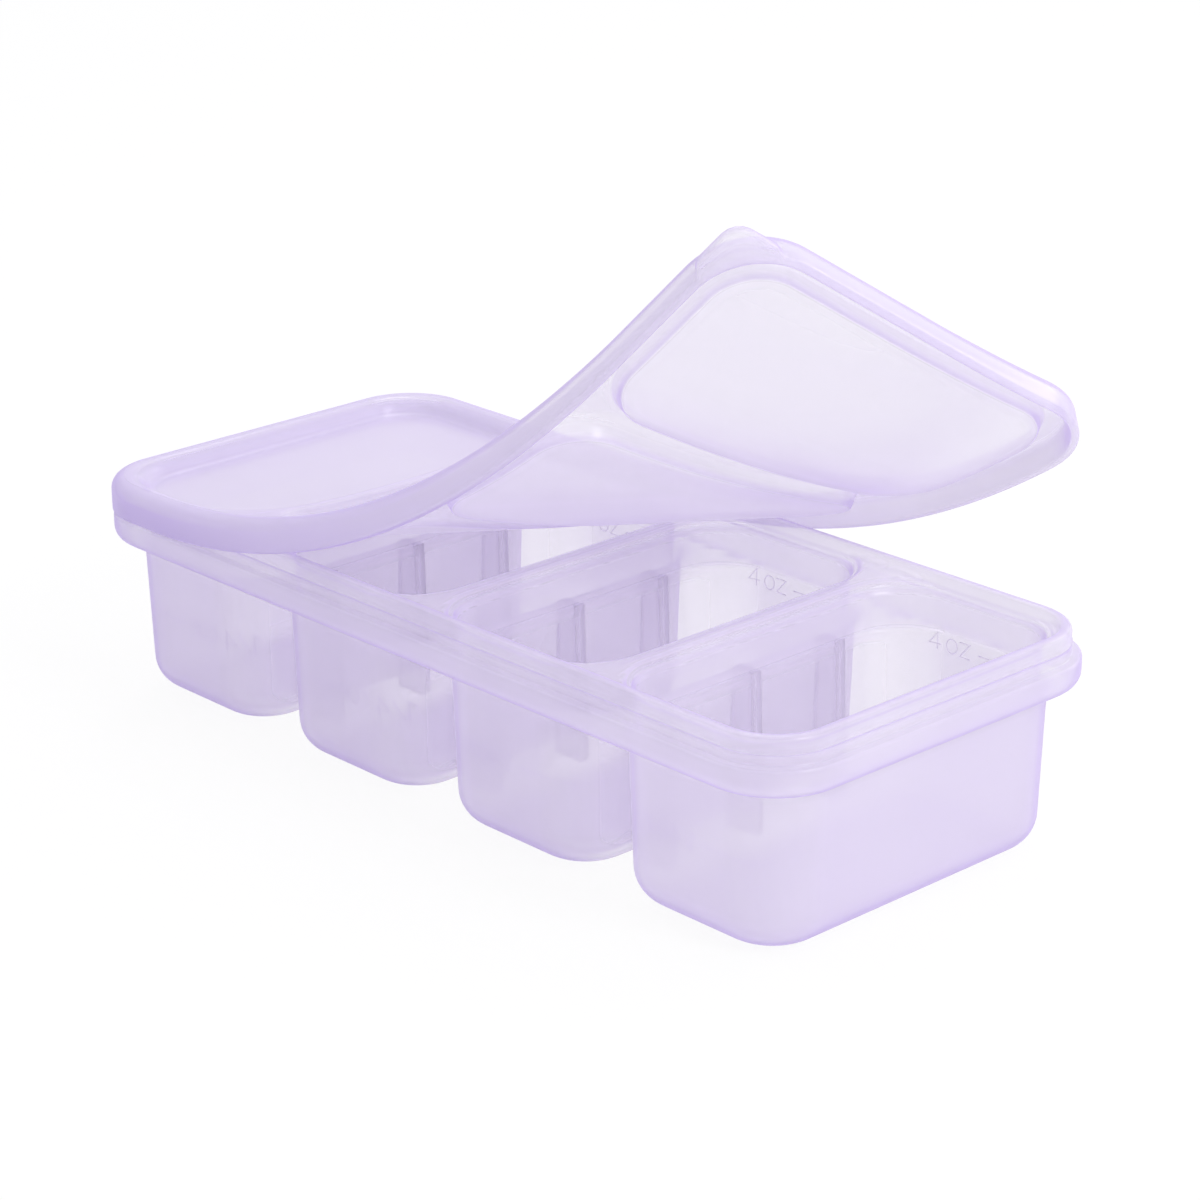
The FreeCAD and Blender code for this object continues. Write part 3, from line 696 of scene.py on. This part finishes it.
def lidPad(pad, roofEdge):
    # the pad that closes a mouth, and the roof from there to the skirt
    padRim = pad.flat(lid["padFlatRadius"])
    length = np.linalg.norm(roofEdge - padRim, axis=1)
    previous = None
    for k in range(len(padSteps) + 4):
        if k < len(padSteps):
            away = np.minimum(padSteps[k], length)
            flat = padRim + pad.out * away[:, None]
        else:
            near = padRim + pad.out * padSteps[-1]
            flat = near + (roofEdge - near) * ((k - len(padSteps) + 1) / 4)
            away = np.full(len(near), 3.5)
        # a painted dark line at the edge of the pad's floor
        ring = pad.ring(flat, profile(padProfile, away), np.interp(away, *lid["padSideHeftAndShadeLine"]))
        if previous is None:
            # the pad floors get the painted shade along the row
            pad.closeFloor(ring, lid["padFlatRadius"], lid["padZ"],
                           lambda p: np.interp(p[:, 0], *lid["padFloorPaintedShade"]), steps=13)
        else:
            pad.skin.join(previous, ring)
        previous = ring


def makeFlatLid():
    skin = Skin()
    lipContour = lidContour(lid["topLip"])
    reachTop = (cell["pitch"] / 2 - lid["topCoreX"], lipContour["halfY"] - lid["topCoreY"])
    reachPad = (cell["pitch"] / 2 - lid["padCoreX"], lidContour(lid["roofLip"])["halfY"] - lid["padCoreY"])
    finer = dict(stepsX=20, stepsY=40, stepsArc=16)
    topStations = stationSet(lid["topCoreX"], lid["topCoreY"], reachTop, **finer)
    padStations = stationSet(lid["padCoreX"], lid["padCoreY"], reachPad, **finer)
    for index in range(cell["count"]):
        one = Cell(skin, index, topStations)
        one.spreadTo(lipContour, lid["topFloorRadius"])
        lidTop(one)
        lidSkirt(one)
        roofEdge = np.where(one.onLine[:, None], one.edge,
                            one.edge + one.edgeWay * (lid["topLip"] - lid["roofLip"]))
        lidPad(Cell(skin, index, padStations), roofEdge)
    return skin.mesh("lidFlat")


def curlPoints(points):
    # bends the flat lid up round parallel lines across its right end; points in metres
    phi = math.radians(curl["angle"])
    n = np.array([math.cos(phi), math.sin(phi)])
    side = np.array([-n[1], n[0]])
    flat = points[:, :2] * 1000
    s, t = flat @ n, flat @ side
    height = points[:, 2] * 1000 - curl["neutralZ"]
    bent = np.clip((s - curl["start"]) / curl["pitch"], 0, curl["folds"]) * math.radians(curl["turn"])
    radius = curl["pitch"] / math.radians(curl["turn"])
    past = np.maximum(s - curl["start"] - curl["pitch"] * curl["folds"], 0)
    along = np.where(s < curl["start"], s, curl["start"] + radius * np.sin(bent) + past * np.cos(bent))
    rise = radius * (1 - np.cos(bent)) + past * np.sin(bent)
    along = along - height * np.sin(bent)
    z = curl["neutralZ"] + rise + height * np.cos(bent)
    xy = along[:, None] * n + t[:, None] * side
    return np.c_[xy, z] / 1000, s


def makeLid():
    flat = makeFlatLid()
    phi = math.radians(curl["angle"])
    n = Vector((math.cos(phi), math.sin(phi), 0))
    cuts = [curl["start"] + curl["pitch"] * k for k in range(1, curl["folds"])]
    work = bmesh.new()
    work.from_mesh(flat)
    for cut in cuts:
        bmesh.ops.bisect_plane(work, geom=work.verts[:] + work.edges[:] + work.faces[:], dist=1e-6,
                               plane_co=n * cut / 1000, plane_no=n)
    work.to_mesh(flat)
    work.free()
    points = np.empty(len(flat.vertices) * 3)
    flat.vertices.foreach_get("co", points)
    bent, along = curlPoints(points.reshape(-1, 3))
    flat.vertices.foreach_set("co", bent.ravel())
    flat.update()
    normals = np.empty(len(flat.vertices) * 3)
    flat.vertex_normals.foreach_get("vector", normals)
    normals = normals.reshape(-1, 3)
    heft = np.empty(len(flat.vertices))
    flat.attributes["heft"].data.foreach_get("value", heft)
    corners = [tuple(p.vertices) for p in flat.polygons]
    middleOf = np.array([along[list(c)].mean() for c in corners])
    parts = np.searchsorted(cuts, middleOf)
    stands = [["lid_seat"]] + [[f"lid_fold_{k}"] for k in range(1, curl["folds"] - 1)]
    stands += [[f"lid_fold_{curl['folds'] - 1}", "lid_flap"]]
    for part in range(curl["folds"]):
        faces = [corners[i] for i in np.nonzero(parts == part)[0]]
        used = sorted({v for f in faces for v in f})
        renumber = {v: i for i, v in enumerate(used)}
        data = bpy.data.meshes.new(f"lidPart{part + 1}")
        data.from_pydata(bent[used].tolist(), [], [tuple(renumber[v] for v in f) for f in faces])
        layer = data.attributes.new("heft", "FLOAT", "POINT")
        layer.data.foreach_set("value", heft[used].astype(np.float32))
        data.polygons.foreach_set("use_smooth", [True] * len(data.polygons))
        data.normals_split_custom_set_from_vertices(normals[used].tolist())
        piece = place(f"lidPart{part + 1}", data, None, "lid_silicone", lidSilicone, *stands[part])
        middle = curl["start"] + curl["pitch"] * (part + 0.5)
        ends = []
        for s in (middle - curl["pitch"] / 2, middle + curl["pitch"] / 2):
            where, _ = curlPoints(np.array([[n.x * s / 1000, n.y * s / 1000, curl["neutralZ"] / 1000]]))
            ends.append(tuple(where[0]))
        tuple(ends[0])
        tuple(ends[1])
        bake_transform(piece)


makeLid()
print("lid made")

# the surround lights the object more from behind, above and the right than from the front
studio = dict(floorZ=-0.0003, floorSize=8.0, floorColour=0.93, whiteShare=0.9,
              dim=0.31, bright=1.19, brightWay=(-0.60, 0.60, 0.53), brightSpan=0.8, tint=(0.97, 0.96, 1))


def whiteForCamera(tree):
    # 1 where the camera, a mirror or clear silicone looks, 0 for light on the object
    path = tree.nodes.new("ShaderNodeLightPath")
    first = tree.nodes.new("ShaderNodeMath")
    first.operation = "ADD"
    tree.links.new(path.outputs["Is Camera Ray"], first.inputs[0])
    tree.links.new(path.outputs["Is Glossy Ray"], first.inputs[1])
    second = tree.nodes.new("ShaderNodeMath")
    second.operation = "ADD"
    second.use_clamp = True
    tree.links.new(first.outputs[0], second.inputs[0])
    tree.links.new(path.outputs["Is Transmission Ray"], second.inputs[1])
    return second.outputs[0]


def makeStudio():
    data = bpy.data.meshes.new("studioFloor")
    size = studio["floorSize"] / 2
    data.from_pydata([(-size, -size, studio["floorZ"]), (size, -size, studio["floorZ"]),
                      (size, size, studio["floorZ"]), (-size, size, studio["floorZ"])], [], [(0, 1, 2, 3)])
    floor = bpy.data.objects.new("studioFloor", data)
    bpy.context.scene.collection.objects.link(floor)
    paper = bpy.data.materials.new("floorPaper")
    paper.use_nodes = True
    tree = paper.node_tree
    tree.nodes.clear()
    matt = tree.nodes.new("ShaderNodeBsdfDiffuse")
    matt.inputs["Color"].default_value = (studio["floorColour"],) * 3 + (1,)
    white = tree.nodes.new("ShaderNodeEmission")
    white.inputs["Strength"].default_value = 1.0
    share = tree.nodes.new("ShaderNodeMath")
    share.operation = "MULTIPLY"
    share.inputs[1].default_value = studio["whiteShare"]
    tree.links.new(whiteForCamera(tree), share.inputs[0])
    blend = tree.nodes.new("ShaderNodeMixShader")
    tree.links.new(share.outputs[0], blend.inputs[0])
    tree.links.new(matt.outputs[0], blend.inputs[1])
    tree.links.new(white.outputs[0], blend.inputs[2])
    tree.links.new(blend.outputs[0], tree.nodes.new("ShaderNodeOutputMaterial").inputs["Surface"])
    data.materials.append(paper)

    world = bpy.data.worlds.new("studioWorld")
    bpy.context.scene.world = world
    world.use_nodes = True
    tree = world.node_tree
    tree.nodes.clear()
    seen = tree.nodes.new("ShaderNodeBackground")
    seen.inputs["Strength"].default_value = 1.0
    seen.inputs["Color"].default_value = (1, 1, 1, 1)
    light = tree.nodes.new("ShaderNodeBackground")
    light.inputs["Color"].default_value = (*studio["tint"], 1)
    way = tree.nodes.new("ShaderNodeTexCoord")
    towards = tree.nodes.new("ShaderNodeVectorMath")
    towards.operation = "DOT_PRODUCT"
    towards.inputs[1].default_value = studio["brightWay"]
    tree.links.new(way.outputs["Generated"], towards.inputs[0])
    level = tree.nodes.new("ShaderNodeMapRange")
    for socket, amount in (("From Min", -studio["brightSpan"]), ("From Max", studio["brightSpan"]),
                           ("To Min", studio["dim"]), ("To Max", studio["bright"])):
        level.inputs[socket].default_value = amount
    tree.links.new(towards.outputs["Value"], level.inputs["Value"])
    tree.links.new(level.outputs["Result"], light.inputs["Strength"])
    choose = tree.nodes.new("ShaderNodeMixShader")
    tree.links.new(whiteForCamera(tree), choose.inputs[0])
    tree.links.new(light.outputs[0], choose.inputs[1])
    tree.links.new(seen.outputs[0], choose.inputs[2])
    tree.links.new(choose.outputs[0], tree.nodes.new("ShaderNodeOutputWorld").inputs["Surface"])


lamps = dict(
    key=dict(at=(0.95, 0.1, 0.75), to=(0, 0, 0.04), size=0.4, watts=5.0),
    left=dict(at=(-0.55, 0.52, 0.95), to=(0, 0, 0.04), size=0.22, watts=1.0),
    back=dict(at=(0.3, 1.0, 0.6), to=(0, 0, 0.04), size=0.4, watts=1.4),
)


def makeLamps():
    for name, lamp in lamps.items():
        data = bpy.data.lights.new(name, "AREA")
        data.size = lamp["size"]
        data.energy = lamp["watts"]
        holder = bpy.data.objects.new(name, data)
        bpy.context.scene.collection.objects.link(holder)
        holder.location = lamp["at"]
        towards = Vector(lamp["to"]) - Vector(lamp["at"])
        holder.rotation_euler = towards.to_track_quat("-Z", "Y").to_euler()


viewpoint = dict(at=(0.5230, -0.4798, 0.3066), azimuth=46.948, elevation=20.793, roll=-0.318, lens=104.08)


def makeCamera():
    data = bpy.data.cameras.new("camera")
    data.lens, data.sensor_width = viewpoint["lens"], 36.0
    data.clip_start, data.clip_end = 0.01, 50.0
    camera = bpy.data.objects.new("camera", data)
    bpy.context.scene.collection.objects.link(camera)
    az, el, roll = (math.radians(viewpoint[k]) for k in ("azimuth", "elevation", "roll"))
    back = Vector((math.sin(az) * math.cos(el), -math.cos(az) * math.cos(el), math.sin(el)))
    right = Vector((math.cos(az), math.sin(az), 0))
    up = back.cross(right)
    across = right * math.cos(roll) + up * math.sin(roll)
    upright = up * math.cos(roll) - right * math.sin(roll)
    turn = Matrix((across, upright, back)).transposed()
    camera.matrix_world = Matrix.Translation(viewpoint["at"]) @ turn.to_4x4()
    bpy.context.scene.camera = camera


makeStudio()
makeLamps()
makeCamera()
bpy.context.scene.view_settings.view_transform = "Standard"
bounces = bpy.context.scene.cycles
bounces.max_bounces, bounces.diffuse_bounces = 16, 10
bounces.transmission_bounces, bounces.transparent_max_bounces = 12, 32
print("studio made")
